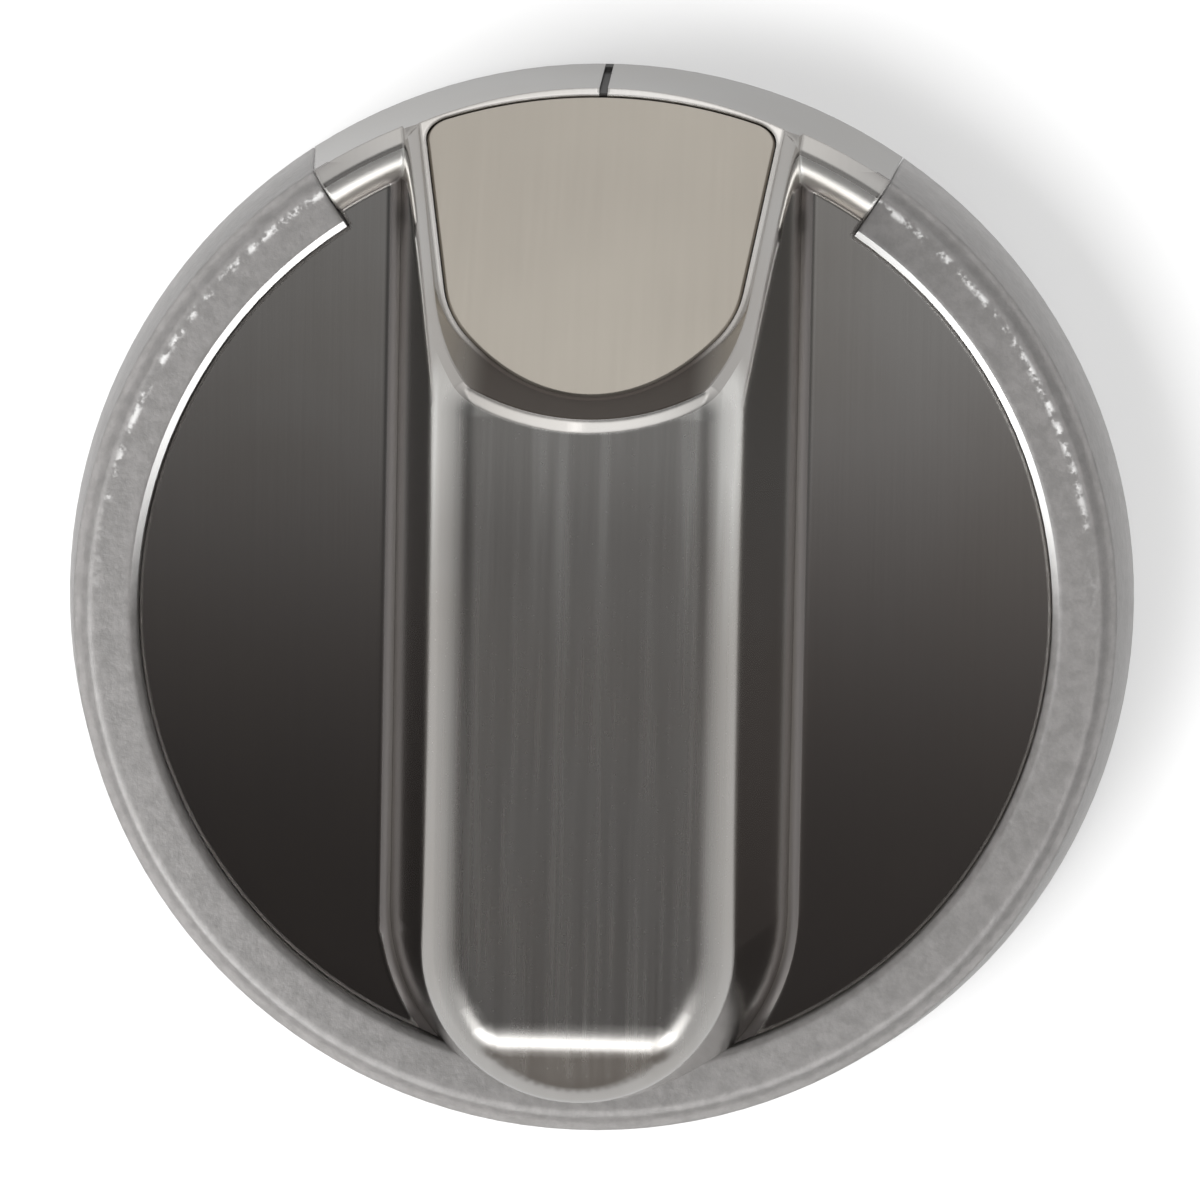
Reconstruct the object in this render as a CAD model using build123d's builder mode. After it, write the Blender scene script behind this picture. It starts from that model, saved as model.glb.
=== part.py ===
from build123d import *
import os
from math import asin, atan2, cos, degrees, hypot, radians, sin, sqrt, tan

# Grill control knob. The back rim stands on z = 0, the valve shaft's axis is Z, the pointer is at +Y.
# Driving dimensions, in millimetres and degrees.

# Skirt and dial
base_radius = 35.0  # outer edge of the skirt at the back
rim_height = 13.0  # back to the top of the rim
skirt_draft = 7.5  # lean of the skirt's outer wall
face_drop = 1.6  # dial face below the rim
wall = 2.2  # thickness of the casting
rim_bevel = 0.9  # bevel of the rim's outer edge
rim_crest = 0.4  # flat top of the rim beside the pointer

# Light ring
ring_width = 5.7  # ring's inner edge, in from the back edge of the skirt
ring_flange = 3.0  # depth of the ring's top over its seat
ring_gap = 66.6  # angle that the ring leaves open at the pointer
ring_wall = 2.7  # casting's wall inside the ring, in from the back edge of the skirt
ring_clearance = 0.1  # between the ring and the casting
ring_lip = 0.4  # bevel on the ring's inner edge
hook_height = 1.0  # thickness of the ring's snap hooks
hook_reach = 0.7  # how far a hook goes under the casting's wall
hook_angle = 12.0  # width of a hook, as an angle
hook_back = 1.5  # hooks in from the back
hook_count = 5

# Handle
crown_height = 33.0  # back to the flat top of the handle
crown_width = 18.5  # width of the handle at the top, before rounding
nose_inset = 6.7  # handle's round end at the top, in from the back edge of the skirt
handle_draft = 9.5  # lean of the handle's sides
foot_round = 1.0  # hollow round between the handle and the dial face
crown_round = 3.0  # rounding of the handle's top edges
nose_round = 4.0  # how the top rolls over at the handle's round end
nose_turn = 35.0  # angle that the top rolls through
nose_run = 4.9  # the top starts to roll over this far before the round end

# Ramp and badge recess
ramp_run = 20.0  # ramp's start at the handle's top, in from the back edge of the skirt
pad_step = 3.26  # recess below the handle's top, at its round end
pad_run_out = 1.6  # recess below the rim's top, at the skirt
pad_overlap = 1.6  # recess's round end, this far into the handle's flat top
pad_nose = 15.0  # radius of the recess's round end
pad_width = 18.7  # recess's width where its sides start
pad_flare = 17.0  # how far each side of the recess opens out
pad_corner = 4.0  # rounding between the round end and the sides
pad_lean = 20.0  # lean of the recess's wall from upright
pad_lip = 0.6  # bevel of the recess's upper edge
pad_lip_angle = 45.0
badge_thickness = 1.0
badge_margin = 0.3  # casting left round the badge
badge_corner = 2.0
badge_bevel = 0.15
badge_clearance = 0.08

# Pointer line
pointer_width = 0.5
pointer_depth = 0.3
pointer_back = 1.5  # start of the line, in from the back

# Back plate and hub
plate_thickness = 2.4
plate_clearance = 0.1  # between the plate's edge and the casting
hub_radius = 7.0
hub_back = 0.8  # hub's mouth, in from the back
hub_depth = 23.0
hub_bevel = 0.5
rib_height = 2.6
rib_width = 1.6
shaft_radius = 4.0
shaft_flat = 6.5  # shaft across its flat
shaft_clearance = 0.05
pilot_clearance = 0.25  # round mouth of the socket, wider than the shaft
pilot_depth = 6.0
socket_depth = 20.0

# Shaft spring
spring_width = 5.0
spring_thickness = 0.35
spring_length = 11.6
spring_bow = 1.1
spring_play = 0.15  # the leaf stands this far into the socket
spring_slack = 0.2  # pocket wider and longer than the leaf by this

# Worked out from the driving dimensions
overall = base_radius + crown_height
edge_band = 0.01  # how far from a height an edge may lie and still be picked
upward = 0.4  # least upward part of the normal of a top face
skirt_lean = tan(radians(skirt_draft))
handle_lean = tan(radians(handle_draft))
face_height = rim_height - face_drop
rim_radius = base_radius - rim_height * skirt_lean
face_under = face_height - wall
ring_opening = base_radius - ring_width
ring_seat_radius = base_radius - ring_wall
crown_reach = base_radius - nose_inset
nose_start = crown_reach - nose_run
ramp_start = base_radius - ramp_run
pad_start = ramp_start - pad_overlap
seat_height = rim_height - ring_flange
cup_radius = ring_seat_radius - wall
dial_radius = ring_opening - ring_clearance
wall_back = hook_back + hook_height + ring_clearance
nose_centre = -(crown_reach - crown_width / 2)
plate_seat = seat_height - wall
plate_back = plate_seat - plate_thickness
plate_radius = cup_radius - plate_clearance
ring_start = 90.0 + ring_gap / 2
ring_bore = ring_seat_radius + ring_clearance
ring_end_gap = degrees(ring_clearance / ring_seat_radius)
pocket_radius = dial_radius - wall
socket_radius = shaft_radius + shaft_clearance
pilot_radius = shaft_radius + pilot_clearance
flat_at = shaft_flat - shaft_radius + shaft_clearance
socket_end = hub_back + socket_depth
spring_centre = (hub_back + pilot_depth + socket_end) / 2
spring_seat = flat_at - spring_play + spring_thickness + spring_bow

# The pad's plane runs from the foot of its step to just under the rim's top at the skirt.
pad_foot = pad_start + pad_step * tan(radians(pad_lean))
pad_fall = crown_height - pad_step - (rim_height - pad_run_out)
pad_angle = degrees(atan2(pad_fall, rim_radius - pad_foot))
pad_length = hypot(pad_fall, rim_radius - pad_foot)
pad_stretch = cos(radians(pad_lean)) / cos(radians(pad_angle + pad_lean))
pad_normal = Vector(0, sin(radians(pad_angle)), cos(radians(pad_angle)))
pad_plane = Plane(
    origin=(0, pad_foot, crown_height - pad_step), x_dir=(1, 0, 0), z_dir=pad_normal
)


def skirt_radius(height):
    """Outer radius of the skirt's leaning wall at a height."""
    return base_radius - height * skirt_lean


def handle_blank(inset, bottom, top):
    """The handle's leaning bar, with a round end at -Y, inset all round by a wall."""
    half_width = crown_width / 2 - inset + (crown_height - bottom) * handle_lean
    far_end = base_radius + 2 * half_width
    with BuildPart() as blank:
        with BuildSketch(Plane.XY.offset(bottom)):
            with BuildLine():
                right = Line((half_width, nose_centre), (half_width, far_end))
                far = Line(right @ 1, (-half_width, far_end))
                left = Line(far @ 1, (-half_width, nose_centre))
                ThreePointArc(left @ 1, (0, nose_centre - half_width), right @ 0)
            make_face()
        extrude(amount=top - bottom, taper=handle_draft)
    return blank.part


def crown_prism(inset, ramp_from, ramp_to):
    """Everything under the handle's top line: the rolled-over nose, the flat crown and the ramp."""
    top = crown_height - inset
    roll = nose_round - inset
    turn = radians(nose_turn)
    slope = (ramp_to[1] - ramp_from[1]) / (ramp_to[0] - ramp_from[0])
    with BuildPart() as prism:
        with BuildSketch(Plane.YZ):
            with BuildLine():
                nose_end = (-nose_start - roll * sin(turn), top - roll * (1 - cos(turn)))
                roll_over = RadiusArc(nose_end, (-nose_start, top), roll)
                crown = Line(roll_over @ 1, ramp_from)
                ramp = Line(crown @ 1, (overall, ramp_from[1] + slope * (overall - ramp_from[0])))
                nose_out = (nose_end[0] - overall * cos(turn), nose_end[1] - overall * sin(turn))
                Polyline(ramp @ 1, (overall, -overall), (nose_out[0], -overall), nose_out, nose_end)
            make_face()
        extrude(amount=overall, both=True)
    return prism.part


def recess_outline():
    """Outline of the badge recess where it breaks the handle's top, run on past the skirt."""
    side = pad_width / 2
    side_start = pad_start + pad_nose - sqrt(pad_nose**2 - side**2)
    spread = side + (overall - side_start) * tan(radians(pad_flare))
    with BuildSketch() as outline:
        with BuildLine():
            end = ThreePointArc((-side, side_start), (0, pad_start), (side, side_start))
            right = Line(end @ 1, (spread, overall))
            far = Line(right @ 1, (-spread, overall))
            Line(far @ 1, end @ 0)
        make_face()
        corners = [v for v in vertices() if abs(v.Y - side_start) < pad_corner / 2]
        fillet(corners, pad_corner)
    return outline.sketch


def radial_plane(angle):
    """Upright plane through the axis, with its x pointing out at an angle."""
    turn = radians(angle)
    return Plane(origin=(0, 0, 0), x_dir=(cos(turn), sin(turn), 0), z_dir=(sin(turn), -cos(turn), 0))


def skirt_cone(inset):
    """Everything inside the skirt's leaning wall, inset by a margin."""
    with BuildPart() as cone:
        with BuildSketch(Plane.XZ):
            with BuildLine():
                outer = Line((base_radius - inset, 0), (skirt_radius(crown_height) - inset, crown_height))
                Polyline(outer @ 1, (0, crown_height), (0, 0), outer @ 0)
            make_face()
        revolve(axis=Axis.Z)
    return cone.part


# Badge recess: the outline run down along the wall's lean, as far as the pad's plane
with BuildPart() as recess:
    with BuildSketch(Plane.XY.offset(crown_height)):
        add(recess_outline())
    extrude(amount=crown_height, dir=(0, sin(radians(pad_lean)), -cos(radians(pad_lean))), both=True)
    split(bisect_by=pad_plane, keep=Keep.TOP)


def badge_blank(gap):
    """The badge's slab below the pad's plane: the recess's outline, stretched onto that plane and inset."""
    inset = badge_margin + gap
    nose_width = pad_nose - inset
    nose_length = pad_nose * pad_stretch - inset
    side = pad_width / 2 - inset
    turn = degrees(asin(side / nose_width))
    with BuildPart() as blank:
        with BuildSketch(pad_plane):
            with BuildLine():
                nose = EllipticalCenterArc(
                    (0, pad_nose * pad_stretch), nose_width, nose_length, -90 - turn, arc_size=2 * turn
                )
                spread = side + pad_length * tan(radians(pad_flare)) / pad_stretch
                far = Line((spread, (nose @ 1).Y + pad_length), (-spread, (nose @ 1).Y + pad_length))
                Line(nose @ 1, far @ 0)
                Line(far @ 1, nose @ 0)
            make_face()
            with Locations((0, pad_length - inset - rim_radius / cos(radians(pad_angle)))):
                Ellipse(rim_radius - inset, rim_radius / cos(radians(pad_angle)), mode=Mode.INTERSECT)
        extrude(amount=-badge_thickness)
        upright = Axis(pad_plane.origin, pad_normal)
        corners = edges().filter_by(upright).filter_by(lambda e: abs(e.center().X) > side / 2)
        fillet(corners.sort_by(Axis.Y)[:2], pad_corner * pad_stretch)
        corners = edges().filter_by(upright).filter_by(lambda e: abs(e.center().X) > side / 2)
        fillet(corners.sort_by(Axis.Y)[-2:], badge_corner - gap)
    return blank.part


# Hollow of the handle, open to the back
with BuildPart() as handle_hollow:
    hollow_foot = pad_plane.origin - pad_normal * (badge_thickness + wall)
    hollow_slope = -tan(radians(pad_angle))
    hollow_top = crown_height - wall
    hollow_edge = hollow_foot.Y + (hollow_top - hollow_foot.Z) / hollow_slope
    add(handle_blank(wall, 0, hollow_top))
    hollow_end = (base_radius, hollow_top + hollow_slope * (base_radius - hollow_edge))
    add(crown_prism(wall, (hollow_edge, hollow_top), hollow_end), mode=Mode.INTERSECT)
    with BuildSketch():
        Circle(pocket_radius)
    extrude(amount=crown_height, mode=Mode.INTERSECT)

# Raised rim in the ring's gap, with a hollow round up from the dial face
with BuildPart() as raised_rim:
    with BuildSketch(radial_plane(90 - ring_gap / 2)):
        crest_inner = rim_radius - rim_bevel - rim_crest
        with BuildLine():
            rise = RadiusArc((crest_inner - face_drop, face_height), (crest_inner, rim_height), face_drop)
            crest = Line(rise @ 1, (rim_radius, rim_height))
            outer = Line(crest @ 1, (skirt_radius(face_under), face_under))
            Polyline(outer @ 1, (crest_inner - face_drop, face_under), rise @ 0)
        make_face()
        chamfer(vertices().group_by(Axis.Y)[-1].sort_by(Axis.X)[-1], rim_bevel)
    revolve(axis=Axis.Z, revolution_arc=ring_gap)
    add(recess.part, mode=Mode.SUBTRACT)
    add(badge_blank(0), mode=Mode.SUBTRACT)

# Plated casting: dial, handle, ramp, rim at the pointer, and the wall that carries the light ring
with BuildPart() as knob_body:
    # Bar on a wide flat, with its hollow foot
    with BuildSketch():
        Circle(2 * base_radius + crown_height)
    extrude(amount=face_height)
    add(handle_blank(0, face_under, crown_height))
    foot_edges = edges().filter_by_position(Axis.Z, face_height - edge_band, face_height + edge_band)
    fillet(foot_edges.sort_by(SortBy.LENGTH)[:-1], foot_round)

    # Top line and skirt, then the rounded top edges
    add(crown_prism(0, (ramp_start, crown_height), (rim_radius, rim_height)), mode=Mode.INTERSECT)
    add(skirt_cone(0), mode=Mode.INTERSECT)
    above_foot = face_height + foot_round
    top_faces = faces().filter_by(lambda f: f.normal_at().Z > upward and f.center().Z > above_foot)
    top_edges = ShapeList(set(top_faces.edges()))
    roll_seams = top_edges.filter_by(Axis.X).filter_by(lambda e: e.center().Y < 0)
    skirt_edge = top_edges.sort_by(Axis.Y)[-1:]
    fillet(top_edges - roll_seams - skirt_edge, crown_round)

    # Badge recess in the ramp, with its bevelled upper edge, the badge's pocket and the raised rim
    add(recess.part, mode=Mode.SUBTRACT)
    with BuildSketch(Plane.XY.offset(crown_height)):
        add(recess_outline())
        offset(amount=pad_lip)
    extrude(amount=-pad_lip, taper=pad_lip_angle, mode=Mode.SUBTRACT)
    add(badge_blank(0), mode=Mode.SUBTRACT)
    add(raised_rim.part)

    # Channel for the light ring, all round but for its gap
    with BuildSketch(radial_plane(ring_start)):
        with BuildLine():
            Polyline(
                (dial_radius, overall),
                (dial_radius, seat_height),
                (ring_seat_radius, seat_height),
                (ring_seat_radius, wall_back),
                (cup_radius - wall, wall_back),
                (cup_radius - wall, -wall),
                (base_radius + wall, -wall),
                (base_radius + wall, overall),
                close=True,
            )
        make_face()
    revolve(axis=Axis.Z, revolution_arc=360 - ring_gap, mode=Mode.SUBTRACT)

    # Hollow back: the cup, the dial's underside and the handle
    with BuildSketch():
        Circle(cup_radius)
    extrude(amount=plate_seat, mode=Mode.SUBTRACT)
    with BuildSketch():
        Circle(pocket_radius)
    extrude(amount=face_under, mode=Mode.SUBTRACT)
    add(handle_hollow.part, mode=Mode.SUBTRACT)

    # Pointer line, cut down the skirt
    with BuildSketch(Plane.YZ):
        with BuildLine():
            floor_line = Line(
                (skirt_radius(pointer_back) - pointer_depth, pointer_back),
                (skirt_radius(rim_height) - pointer_depth, rim_height),
            )
            clear = base_radius + wall
            Polyline(floor_line @ 1, (clear, rim_height), (clear, pointer_back), floor_line @ 0)
        make_face()
    extrude(amount=pointer_width / 2, both=True, mode=Mode.SUBTRACT)

# Frosted light ring: a C of one section, with snap hooks under the casting's wall
with BuildPart() as light_ring:
    with BuildSketch(radial_plane(ring_start + ring_end_gap)):
        with BuildLine():
            Polyline(
                (ring_bore, 0),
                (base_radius, 0),
                (rim_radius, rim_height),
                (ring_opening, rim_height),
                (ring_opening, seat_height),
                (ring_bore, seat_height),
                close=True,
            )
        make_face()
        top_corners = vertices().group_by(Axis.Y)[-1].sort_by(Axis.X)
        chamfer(top_corners[-1], rim_bevel)
        chamfer(vertices().group_by(Axis.Y)[-1].sort_by(Axis.X)[0], ring_lip)
    revolve(axis=Axis.Z, revolution_arc=360 - ring_gap - 2 * ring_end_gap)
    hook_step = (360 - ring_gap) / hook_count
    for hook in range(hook_count):
        hook_middle = ring_start + hook_step * (hook + 0.5)
        with BuildSketch(radial_plane(hook_middle - hook_angle / 2)):
            with BuildLine():
                Polyline(
                    (ring_bore + hook_height / 2, hook_back),
                    (ring_bore + hook_height / 2, hook_back + hook_height),
                    (ring_seat_radius - hook_reach, hook_back + hook_height),
                    (ring_bore, hook_back),
                    close=True,
                )
            make_face()
        revolve(axis=Axis.Z, revolution_arc=hook_angle)

# Badge inlay, bare
with BuildPart() as badge_plate:
    add(badge_blank(badge_clearance))
    badge_outline = faces().sort_by(Axis(pad_plane.origin, pad_normal))[-1].outer_wire().edges()
    chamfer(badge_outline, badge_bevel)

# Back plate with ribs, hub and D-shaped shaft socket
with BuildPart() as rear_plate:
    with BuildSketch(Plane.XY.offset(plate_back)):
        Circle(plate_radius)
    extrude(amount=plate_thickness)
    with BuildSketch(Plane.XY.offset(plate_back - rib_height)):
        Circle(plate_radius)
        Circle(plate_radius - rib_width, mode=Mode.SUBTRACT)
        Rectangle(2 * plate_radius - rib_width, rib_width)
        Rectangle(rib_width, 2 * plate_radius - rib_width)
    extrude(amount=rib_height)
    with BuildSketch(Plane.XY.offset(hub_back)):
        Circle(hub_radius)
    extrude(amount=hub_depth)
    with BuildSketch(Plane.XY.offset(hub_back)):
        Circle(pilot_radius)
    extrude(amount=pilot_depth, mode=Mode.SUBTRACT)
    with BuildSketch(Plane.XY.offset(hub_back)):
        Circle(socket_radius)
        with Locations((0, flat_at + socket_radius)):
            Rectangle(2 * socket_radius, 2 * socket_radius, mode=Mode.SUBTRACT)
    extrude(amount=socket_depth, mode=Mode.SUBTRACT)
    with BuildSketch(Plane.XY.offset(spring_centre)):
        with Locations((0, spring_seat / 2)):
            Rectangle(spring_width + spring_slack, spring_seat)
    extrude(amount=(spring_length + spring_slack) / 2, both=True, mode=Mode.SUBTRACT)
    mouth_edges = edges().filter_by(GeomType.CIRCLE).group_by(Axis.Z)[0]
    chamfer(mouth_edges.sort_by(SortBy.RADIUS)[-1], hub_bevel)

# Bowed spring leaf beside the shaft's flat
with BuildPart() as shaft_spring:
    with BuildSketch(Plane.YZ):
        low = spring_centre - spring_length / 2
        high = spring_centre + spring_length / 2
        with BuildLine():
            bow_back = (spring_seat - spring_bow, spring_centre)
            back = ThreePointArc((spring_seat, low), bow_back, (spring_seat, high))
            inner_seat = spring_seat - spring_thickness
            top_end = Line(back @ 1, (inner_seat, high))
            front = ThreePointArc(top_end @ 1, (inner_seat - spring_bow, spring_centre), (inner_seat, low))
            Line(front @ 1, back @ 0)
        make_face()
    extrude(amount=spring_width / 2, both=True)

os.makedirs("parts", exist_ok=True)
knob_body.part.label = "knob_body"
export_step(knob_body.part, "parts/knob_body.step")
light_ring.part.label = "light_ring"
export_step(light_ring.part, "parts/light_ring.step")
badge_plate.part.label = "badge_plate"
export_step(badge_plate.part, "parts/badge_plate.step")
rear_plate.part.label = "rear_plate"
export_step(rear_plate.part, "parts/rear_plate.step")
shaft_spring.part.label = "shaft_spring"
export_step(shaft_spring.part, "parts/shaft_spring.step")
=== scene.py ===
from math import radians, tan

import bpy
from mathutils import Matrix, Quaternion, Vector

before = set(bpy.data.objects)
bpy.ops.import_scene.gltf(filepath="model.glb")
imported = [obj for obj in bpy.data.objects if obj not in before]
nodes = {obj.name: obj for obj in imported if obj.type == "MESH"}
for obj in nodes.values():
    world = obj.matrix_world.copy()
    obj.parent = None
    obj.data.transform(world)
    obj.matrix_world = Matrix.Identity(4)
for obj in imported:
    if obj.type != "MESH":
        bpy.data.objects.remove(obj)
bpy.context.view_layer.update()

# Back plate: a black filled-plastic moulding with ribs and the hub that grips the valve shaft.
# It closes the hollow casting from behind, and its tool leaves a fine even grain.
PLASTIC_BLACK = (0.022, 0.022, 0.023, 1.0)
PLASTIC_WORN = (0.045, 0.044, 0.043, 1.0)
PLASTIC_WEAR = (0.35, 0.7)
PLASTIC_ROUGH = 0.42
PLASTIC_EDGE = 0.0003
EDGE_SAMPLES = 6


class Shade:
    """A socket in a node tree. Arithmetic on it adds Math nodes to the same tree."""

    def __init__(self, tree, socket=None):
        self.tree = tree
        self.socket = socket

    def add(self, kind, settings, sockets, output=0):
        """A node of a kind: its settings come first, then the values or links of its sockets."""
        node = self.tree.nodes.new(kind)
        for name, value in settings.items():
            setattr(node, name, value)
        for name, value in sockets.items():
            if isinstance(value, Shade):
                self.tree.links.new(value.socket, node.inputs[name])
            else:
                node.inputs[name].default_value = value
        return Shade(self.tree, node.outputs[output])

    def maths(self, operation, *terms):
        return self.add("ShaderNodeMath", {"operation": operation}, dict(enumerate(terms)))

    def __add__(self, other):
        return self.maths("ADD", self, other)

    def __radd__(self, other):
        return self.maths("ADD", other, self)

    def __sub__(self, other):
        return self.maths("SUBTRACT", self, other)

    def __rsub__(self, other):
        return self.maths("SUBTRACT", other, self)

    def __mul__(self, other):
        return self.maths("MULTIPLY", self, other)

    def __rmul__(self, other):
        return self.maths("MULTIPLY", other, self)

    def __gt__(self, other):
        return self.maths("GREATER_THAN", self, other)

    def __lt__(self, other):
        return self.maths("LESS_THAN", self, other)

    def __abs__(self):
        return self.maths("ABSOLUTE", self)

    def step(self, low, high):
        """0 below low, 1 above high, smooth between."""
        return self.add(
            "ShaderNodeMapRange",
            {"interpolation_type": "SMOOTHSTEP"},
            {"Value": self, "From Min": low, "From Max": high, "To Min": 0.0, "To Max": 1.0},
        )

    def blend(self, low, high):
        """A colour between two, by this value."""
        settings = {"data_type": "RGBA"}
        return self.add("ShaderNodeMix", settings, {"Factor": self, 6: low, 7: high}, 2)

    def bump(self, strength, distance, edge):
        """A normal from this value as a height, with the edges softened by a radius."""
        soft = self.add("ShaderNodeBevel", {"samples": EDGE_SAMPLES}, {"Radius": edge})
        sockets = {"Strength": strength, "Distance": distance, "Height": self, "Normal": soft}
        return self.add("ShaderNodeBump", {}, sockets)

    def grain(self, scale, detail, roughness, stretch=(1.0, 1.0, 1.0)):
        """Noise over the object's own coordinates, with a stretch along each axis."""
        place = self.add("ShaderNodeTexCoord", {}, {}, 3)
        place = place.add("ShaderNodeMapping", {}, {"Vector": place, "Scale": stretch})
        sockets = {"Vector": place, "Scale": scale, "Detail": detail, "Roughness": roughness}
        return self.add("ShaderNodeTexNoise", {}, sockets)

    def axes(self):
        """The object's x, y and z."""
        place = self.add("ShaderNodeTexCoord", {}, {}, 3)
        parts = place.add("ShaderNodeSeparateXYZ", {}, {"Vector": place})
        return [Shade(self.tree, parts.socket.node.outputs[i]) for i in range(3)]


def finish_of(name, **constants):
    """A new material with one Principled shader: returns the material, its tree and the shader's node."""
    material = bpy.data.materials.new(name)
    material.use_nodes = True
    shader = material.node_tree.nodes["Principled BSDF"]
    for socket, value in constants.items():
        shader.inputs[socket.replace("_", " ")].default_value = value
    return material, Shade(material.node_tree), shader


def feed(shader, **sockets):
    """Links what changes over the surface to the shader."""
    for socket, shade in sockets.items():
        shade.tree.links.new(shade.socket, shader.inputs[socket.replace("_", " ")])


black_plastic, tree, shader = finish_of("black_plastic", IOR=1.5)
mould_grain = tree.grain(scale=2600.0, detail=3.0, roughness=0.6)
mould_flow = tree.grain(scale=90.0, detail=4.0, roughness=0.55)
wear = (mould_flow * 0.7 + mould_grain * 0.3).step(*PLASTIC_WEAR)
feed(
    shader,
    Base_Color=wear.blend(PLASTIC_BLACK, PLASTIC_WORN),
    Roughness=PLASTIC_ROUGH + mould_flow * 0.16 + mould_grain * 0.1,
    Normal=mould_grain.bump(strength=0.25, distance=0.00006, edge=PLASTIC_EDGE),
)
nodes["rear_plate"].material_slots[0].material = black_plastic

# Shaft spring: a bowed leaf of rolled spring steel in a pocket of the hub.
# Its faces keep the lines of the rolls along the strip, and its edges are sheared.
SPRING_STEEL = (0.50, 0.49, 0.47, 1.0)
SPRING_TINT = (0.40, 0.36, 0.31, 1.0)
SPRING_ROLLED = (4200.0, 4200.0, 160.0)
SPRING_HEAT = (0.3, 0.75)
SPRING_ROUGH = 0.24
SPRING_EDGE = 0.00005
spring_steel, tree, shader = finish_of("spring_steel", Metallic=1.0)
roll_lines = tree.grain(scale=1.0, detail=4.0, roughness=0.6, stretch=SPRING_ROLLED)
heat_tint = tree.grain(scale=420.0, detail=2.0, roughness=0.5)
feed(
    shader,
    Base_Color=heat_tint.step(*SPRING_HEAT).blend(SPRING_STEEL, SPRING_TINT),
    Roughness=SPRING_ROUGH + roll_lines * 0.22,
    Normal=roll_lines.bump(strength=0.15, distance=0.00002, edge=SPRING_EDGE),
)
nodes["shaft_spring"].material_slots[0].material = spring_steel

# Casting: the dial, bar handle, ramp and pointer rim in one zinc casting with a satin chrome plate.
# The plate is brushed along the handle and smoother on the dial, and the pointer line is painted.
# A painted sheen makes it paler towards the badge, and a painted highlight pales the hollow beside the rim;
# painted shade darkens the handle's foot and the step, which are also dull.
CHROME = (0.60, 0.585, 0.565, 1.0)
CHROME_WARM = (0.56, 0.535, 0.505, 1.0)
CHROME_STREAK_AND_PAINTED_SHEEN = (0.92, 0.91, 0.88, 1.0)
CHROME_PAINTED_SHADE = (0.36, 0.335, 0.325, 1.0)
STEP_PAINTED_SHADE = (0.10, 0.085, 0.075, 1.0)
POINTER_PAINT = (0.012, 0.011, 0.010, 1.0)
POINTER_HALF = 0.00027
POINTER_FROM = 0.0315
CROWN_HEIGHT = 0.033
CROWN_BAND = (0.0285, 0.0318)
STEP_CENTRE = 0.0284
STEP_RADIUS = 0.015
STEP_LEAN = tan(radians(20))
STEP_FOOT = 0.0005
STEP_EDGE = 0.00005
STEP_LIP = 0.00065
STEP_SIDES = (0.0060, 0.0093)
STREAK_MARKS = (0.42, 0.68)
STREAK_PAINTED_SHEEN_RISE = (-0.004, 0.013)
STREAK_LEAST = 0.12
PAINTED_SHEEN_RISE = (0.005, 0.0135)
PAINTED_SHEEN = 0.5
HOLLOW_FROM = 0.0303
HOLLOW_FADE = 0.0003
HOLLOW_TO = 0.0321
HOLLOW_TOP = 0.01305
FOOT_FROM = 0.01143
FOOT_TO = 0.0127
FOOT_END = 0.0285
CHROME_ROUGH = 0.09
CROWN_ROUGH = 0.05
BRUSH_ROUGH = 0.2
PAINT_ROUGH = 0.35
STEP_ROUGH = 0.3
HOLLOW_ROUGH = 0.25
FOOT_ROUGH = 0.3
CASTING_EDGE = 0.0003
satin_chrome, tree, shader = finish_of("satin_chrome")
x, y, z = tree.axes()
brush_fine = tree.grain(scale=1.0, detail=5.0, roughness=0.6, stretch=(2600.0, 46.0, 300.0))
brush_broad = tree.grain(scale=1.0, detail=3.0, roughness=0.5, stretch=(520.0, 16.0, 60.0))
clouding = tree.grain(scale=70.0, detail=3.0, roughness=0.5)
dust = tree.grain(scale=5200.0, detail=1.0, roughness=0.4).step(0.68, 0.76)
brushed = brush_fine * 0.55 + brush_broad * 0.45
pointer = (abs(x) < POINTER_HALF) * (y > POINTER_FROM)

# The step's wall is part of a leaning cylinder, so its axis moves along y with the height
along = y + (z - CROWN_HEIGHT) * STEP_LEAN - STEP_CENTRE
inward = tree.maths("SQRT", x * x + along * along)
crown = z.step(*CROWN_BAND) * (inward > STEP_RADIUS + STEP_LIP)
# Painted shade on the leaning wall of the step in the ramp, which is also rougher
step_wall_rough_and_painted_shade = inward.step(STEP_RADIUS - STEP_FOOT, STEP_RADIUS - STEP_FOOT / 2)
step_wall_rough_and_painted_shade = step_wall_rough_and_painted_shade * (inward < STEP_RADIUS + STEP_EDGE)
step_wall_rough_and_painted_shade = step_wall_rough_and_painted_shade * (1 - abs(x).step(*STEP_SIDES))
outward = tree.maths("SQRT", x * x + y * y)
# A painted highlight in the hollow beside the pointer rim, on the pointer's side only; it is also rougher
hollow_rough_and_painted_highlight = outward.step(HOLLOW_FROM, HOLLOW_FROM + HOLLOW_FADE) * (outward < HOLLOW_TO)
hollow_rough_and_painted_highlight = hollow_rough_and_painted_highlight * (z < HOLLOW_TOP) * (y > 0)
# Painted shade in the corner at the handle's foot, which is also rougher
foot_rough_and_painted_shade = (z > FOOT_FROM) * (1 - z.step(FOOT_FROM, FOOT_TO)) * (y < FOOT_END)
# Paler brush streaks on the crown, strengthened by a painted sheen that grows towards the badge
brush_marks_with_painted_sheen = brush_broad.step(*STREAK_MARKS) * (STREAK_LEAST + y.step(*STREAK_PAINTED_SHEEN_RISE) * (1 - STREAK_LEAST))
streaks_and_painted_sheen = crown * (brush_marks_with_painted_sheen + y.step(*PAINTED_SHEEN_RISE) * PAINTED_SHEEN)

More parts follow.
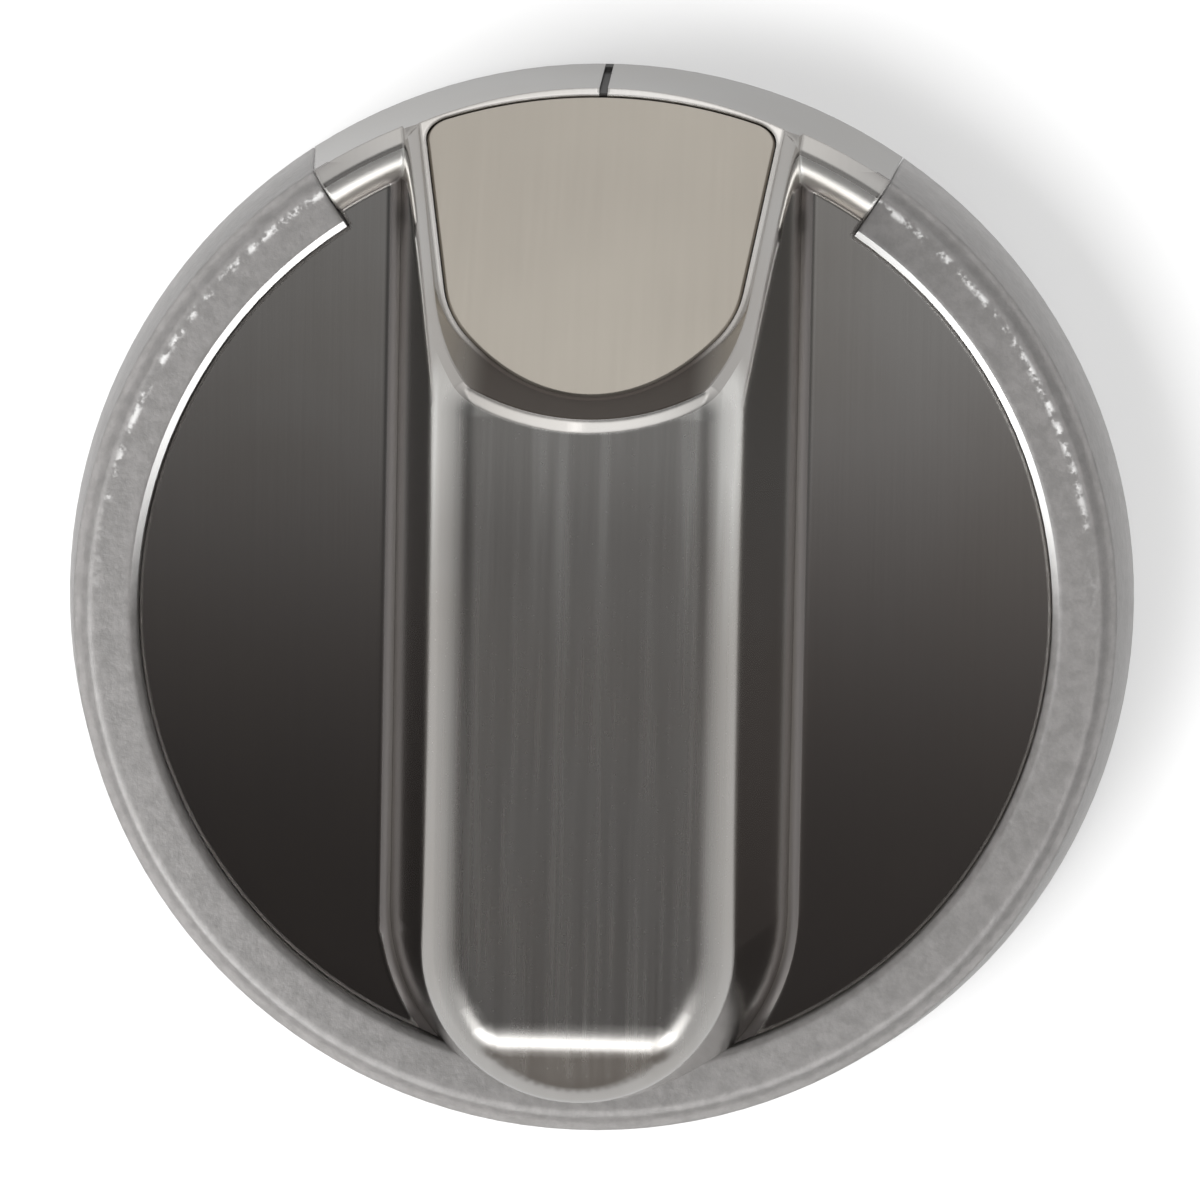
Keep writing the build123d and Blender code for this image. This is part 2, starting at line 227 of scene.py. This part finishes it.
# The plate's own tone, with the painted sheen, painted highlight and painted shade laid over it
plate = clouding.step(0.3, 0.7).blend(CHROME, CHROME_WARM)
plate = streaks_and_painted_sheen.blend(plate, CHROME_STREAK_AND_PAINTED_SHEEN)
plate = step_wall_rough_and_painted_shade.blend(plate, STEP_PAINTED_SHADE)
plate = hollow_rough_and_painted_highlight.blend(plate, CHROME_STREAK_AND_PAINTED_SHEEN)
plate = foot_rough_and_painted_shade.blend(plate, CHROME_PAINTED_SHADE)
satin = CHROME_ROUGH + clouding * 0.04 + dust * 0.015 + crown * (CROWN_ROUGH + brushed * BRUSH_ROUGH)
dulled = step_wall_rough_and_painted_shade * STEP_ROUGH + hollow_rough_and_painted_highlight * HOLLOW_ROUGH + foot_rough_and_painted_shade * FOOT_ROUGH
feed(
    shader,
    Base_Color=pointer.blend(plate, POINTER_PAINT),
    Metallic=1 - pointer,
    Roughness=satin + dulled + pointer * PAINT_ROUGH,
    Normal=(brushed * (0.5 + crown * 0.5)).bump(strength=0.25, distance=0.00004, edge=CASTING_EDGE),
)
nodes["knob_body"].material_slots[0].material = satin_chrome

# Badge inlay: a thin satin metal plate pressed into the pocket of the ramp, left bare.
# It is a little paler and warmer than the plated casting round it, with a very fine grain.
BADGE_METAL = (0.464, 0.428, 0.373, 1.0)
BADGE_SHADE = (0.441, 0.405, 0.354, 1.0)
BADGE_ROUGH = 0.30
BADGE_EDGE = 0.0001
badge_metal, tree, shader = finish_of("badge_metal", Metallic=1.0)
badge_brush = tree.grain(scale=1.0, detail=4.0, roughness=0.6, stretch=(3200.0, 60.0, 60.0))
badge_cloud = tree.grain(scale=60.0, detail=2.0, roughness=0.5)
feed(
    shader,
    Base_Color=badge_cloud.step(0.3, 0.7).blend(BADGE_METAL, BADGE_SHADE),
    Roughness=BADGE_ROUGH + badge_brush * 0.1 + badge_cloud * 0.06,
    Normal=badge_brush.bump(strength=0.04, distance=0.00003, edge=BADGE_EDGE),
)
nodes["badge_plate"].material_slots[0].material = badge_metal

# Light ring: a C-shaped moulding of clear plastic, frosted so that the lamps behind the panel glow in it.
# It snaps over the casting's wall by its hooks. In the half towards the pointer a painted highlight pales
# its inner edge, and painted glints speckle a line over its seat; both mix in a pale, rough shader.
RING_CLEAR = (0.52, 0.50, 0.49, 1.0)
RING_GREY = (0.40, 0.386, 0.377, 1.0)
RING_PAINTED_GLEAM = (0.90, 0.90, 0.89, 1.0)
RING_ROUGH = 0.24
RING_GLEAM_ROUGH = 0.55
RING_PAINTED_GLINT = 0.45
RING_INNER = 0.0293
RING_LIP = 0.0004
RING_SEAT = 0.0319
RING_SEAT_BAND = 0.00035
RING_TOP = 0.0125
RING_UPPER = (-0.002, 0.014)
RING_GLINT_SPOTS = (0.46, 0.62)
RING_EDGE = 0.0005
frosted_plastic, tree, shader = finish_of("frosted_plastic", IOR=1.49, Transmission_Weight=0.7)
x, y, z = tree.axes()
outward = tree.maths("SQRT", x * x + y * y)
pits = tree.grain(scale=2400.0, detail=3.0, roughness=0.65)
haze = tree.grain(scale=150.0, detail=3.0, roughness=0.5)
speckle = tree.grain(scale=1100.0, detail=3.0, roughness=0.7)
upper = (z > RING_TOP) * y.step(*RING_UPPER)
# A painted highlight on the inner edge, in the half towards the pointer only
painted_lip_gleam = (outward < RING_INNER + RING_LIP) * upper
seat_line = 1 - abs(outward - RING_SEAT).step(0.0, RING_SEAT_BAND)
# Painted glints in spots along a line over the seat, in the same half towards the pointer
painted_glints = seat_line * speckle.step(*RING_GLINT_SPOTS) * upper
feed(
    shader,
    Base_Color=speckle.step(0.3, 0.7).blend(RING_GREY, RING_CLEAR),
    Roughness=RING_ROUGH + haze * 0.08 + pits * 0.14,
    Normal=pits.bump(strength=0.35, distance=0.00008, edge=RING_EDGE),
)
clear = Shade(tree.tree, shader.outputs["BSDF"])
# The painted highlight and glints mix in a pale, rough shader over the clear one
painted_gleam = tree.add("ShaderNodeBsdfPrincipled", {}, {"Base Color": RING_PAINTED_GLEAM, "Roughness": RING_GLEAM_ROUGH})
painted_gleam_mask = tree.maths("MAXIMUM", painted_lip_gleam, painted_glints * RING_PAINTED_GLINT)
surface = tree.add("ShaderNodeMixShader", {}, {0: painted_gleam_mask, 1: clear, 2: painted_gleam})
tree.tree.links.new(surface.socket, tree.tree.nodes["Material Output"].inputs["Surface"])
nodes["light_ring"].material_slots[0].material = frosted_plastic

# Floor: a white sheet under the knob, pale enough to lose its edge and to keep the knob's soft shadow.
# The camera and the clear ring see it as white, and the metal mirrors it as grey.
FLOOR_SIZE = 6.0
FLOOR_WHITE = (0.68, 0.68, 0.68, 1.0)
FLOOR_SHINE = (1.0, 1.0, 1.0, 1.0)
FLOOR_GLOW = 0.42
FLOOR_MIRROR = 0.8
FLOOR_GREY = 0.5
bpy.ops.object.select_all(action="DESELECT")
bpy.ops.mesh.primitive_plane_add(size=FLOOR_SIZE, location=(0, 0, 0))
floor = bpy.context.object
floor.name = "floor"
floor_paper = bpy.data.materials.new("floor_paper")
floor_paper.use_nodes = True
tree = Shade(floor_paper.node_tree)
tree.tree.nodes.remove(tree.tree.nodes["Principled BSDF"])
paths = tree.add("ShaderNodeLightPath", {}, {}).socket.node.outputs
seen = Shade(tree.tree, paths["Is Camera Ray"]) + Shade(tree.tree, paths["Is Transmission Ray"])
mirrored = Shade(tree.tree, paths["Is Glossy Ray"])
glow = seen * FLOOR_GLOW + mirrored * FLOOR_MIRROR
paper = tree.add("ShaderNodeBsdfDiffuse", {}, {"Color": FLOOR_WHITE})
strength = 1 - mirrored * FLOOR_GREY
white = tree.add("ShaderNodeEmission", {}, {"Color": FLOOR_SHINE, "Strength": strength})
surface = tree.add("ShaderNodeMixShader", {}, {0: glow, 1: paper, 2: white})
tree.tree.links.new(surface.socket, tree.tree.nodes["Material Output"].inputs["Surface"])
floor.data.materials.append(floor_paper)

# Room: bright all round, with the dark of the camera's side overhead that the flat chrome faces mirror.
# The dark is a wide oval that leans away from the pointer.
# A window stands beyond it there, over a brown wall.
ROOM_WHITE = (1.0, 1.0, 1.0, 1.0)
ROOM_DUSK = (1.0, 0.89, 0.87, 1.0)
ROOM_BROWN = (0.24, 0.21, 0.185, 1.0)
LEAST_RISE = 0.12
OVAL_LEFT = 0.05
OVAL_BACK = 0.22
OVAL_WIDTH = 0.70
OVAL_DEPTH = 0.14
OVAL_RIM = (0.75, 1.05)
OVAL_TINT = (0.9, 1.3)
DARK_LEVEL = 0.030
RIM_LEVEL = 0.065
CEILING_FROM = (0.98, 1.30)
CEILING_SIDES = (0.10, 0.30)
CEILING_LEVEL = 0.20
SIDE_RISE = (-0.12, 0.06)
SIDE_LEAST = 0.75
SIDE_GAIN = 0.5
AROUND_HIGH = (0.22, 0.75)
AROUND_LOW = (0.67, 1.0)
AROUND_LEVEL = 0.42
LOW_LEVEL = 0.12
RIGHT_FADE = (-0.3, 0.3)
RIGHT_LOSS = 0.13
FRONT_RISE = (0.2, 0.9)
FRONT_TAPER = 0.8
FRONT_GAIN = 1.2
WINDOW_RISE = (0.05, 0.35)
WINDOW_TAPER = 0.6
WINDOW_TOP = (0.36, 0.44)
WINDOW_SILL = (0.60, 0.70)
WINDOW_POST = (-0.042, -0.022)
WINDOW_POST_END = (0.1, 0.2)
WINDOW_POST_DARK = 0.75
WINDOW_LEVEL = 3.2
WALL_RISE = (0.0, 0.5)
WALL_TAPER = 1.6
WALL_TOP = (0.58, 0.72)
room = bpy.data.worlds.new("room")
room.use_nodes = True
bpy.context.scene.world = room
tree = Shade(room.node_tree)
direction = tree.add("ShaderNodeTexCoord", {}, {}, 0)
parts = tree.add("ShaderNodeSeparateXYZ", {}, {"Vector": direction}).socket.node.outputs
x, y, z = (Shade(tree.tree, parts[i]) for i in range(3))
rise = tree.maths("MAXIMUM", z, LEAST_RISE)
across = tree.maths("DIVIDE", x, rise)
along = tree.maths("DIVIDE", y, rise)
wide = (across + OVAL_LEFT) * (1 / OVAL_WIDTH)
deep = (along + OVAL_BACK) * (1 / OVAL_DEPTH)
oval = tree.maths("SQRT", wide * wide + deep * deep)
ceiling = oval.step(*CEILING_FROM) * (1 - abs(across).step(*CEILING_SIDES))
near = DARK_LEVEL + oval.step(*OVAL_RIM) * RIM_LEVEL + ceiling * CEILING_LEVEL
near = near * (SIDE_LEAST + across.step(*SIDE_RISE) * SIDE_GAIN)
lean = tree.maths("ARCCOSINE", z) * (1 / radians(90))
around = lean.step(*AROUND_HIGH) * AROUND_LEVEL + lean.step(*AROUND_LOW) * LOW_LEVEL
around = around * (1 - x.step(*RIGHT_FADE) * RIGHT_LOSS)
front = (y - abs(x) * FRONT_TAPER).step(*FRONT_RISE)
window = (0 - y - abs(x) * WINDOW_TAPER).step(*WINDOW_RISE)
window = window * lean.step(*WINDOW_TOP) * (1 - lean.step(*WINDOW_SILL))
post = x.step(*WINDOW_POST) * (1 - x.step(*WINDOW_POST_END))
window = window * (1 - post * WINDOW_POST_DARK)
level = (near + around) * (1 + front * FRONT_GAIN) + window * WINDOW_LEVEL
sky = tree.add("ShaderNodeCombineColor", {}, {0: level, 1: level, 2: level})
dusk = oval.step(*OVAL_TINT).blend(ROOM_DUSK, ROOM_WHITE)
brown = (0 - y - abs(x) * WALL_TAPER).step(*WALL_RISE) * lean.step(*WALL_TOP)
tint = brown.blend(dusk, ROOM_BROWN)
settings = {"data_type": "RGBA", "blend_type": "MULTIPLY"}
tinted_sky = tree.add("ShaderNodeMix", settings, {"Factor": 1.0, 6: sky, 7: tint}, 2)
tree.tree.links.new(tinted_sky.socket, tree.tree.nodes["Background"].inputs["Color"])

# Lamps: a soft one from the left, which lays the shadow to the right.
# A weak one opposite evens the ring.
LAMPS = [
    ("soft_lamp", (-0.39, -0.26, 0.68), 0.40, 10.0),
    ("fill_lamp", (0.24, 0.44, 0.52), 0.50, 1.9),
]
for lamp_name, place, size, energy in LAMPS:
    bpy.ops.object.light_add(type="AREA", location=place)
    lamp = bpy.context.object
    lamp.name = lamp_name
    lamp.data.size = size
    lamp.data.energy = energy
    lamp.visible_glossy = False
    lamp.rotation_euler = (Vector((0, 0, 0)) - lamp.location).to_track_quat("-Z", "Y").to_euler()

# Camera: far above the dial, a little towards the pointer and to the right.
# It is rolled by about a degree.
CAMERA_PLACE = Vector((0.015, 0.0378, 0.450))
CAMERA_AIM = Vector((-0.00003, -0.00016, 0.0))
CAMERA_ROLL = radians(1.1)
CAMERA_SENSOR = 36.0
CAMERA_LENS = 206.2
CAMERA_NEAR = 0.01
CAMERA_FAR = 20.0
bpy.ops.object.camera_add(location=CAMERA_PLACE)
camera = bpy.context.object
camera.data.sensor_width = CAMERA_SENSOR
camera.data.lens = CAMERA_LENS
camera.data.clip_start = CAMERA_NEAR
camera.data.clip_end = CAMERA_FAR
tilt = Vector((0, 0, -1)).rotation_difference(CAMERA_AIM - CAMERA_PLACE)
camera.rotation_euler = (tilt @ Quaternion((0, 0, 1), CAMERA_ROLL)).to_euler()
bpy.context.scene.camera = camera
bpy.context.scene.view_settings.view_transform = "Standard"
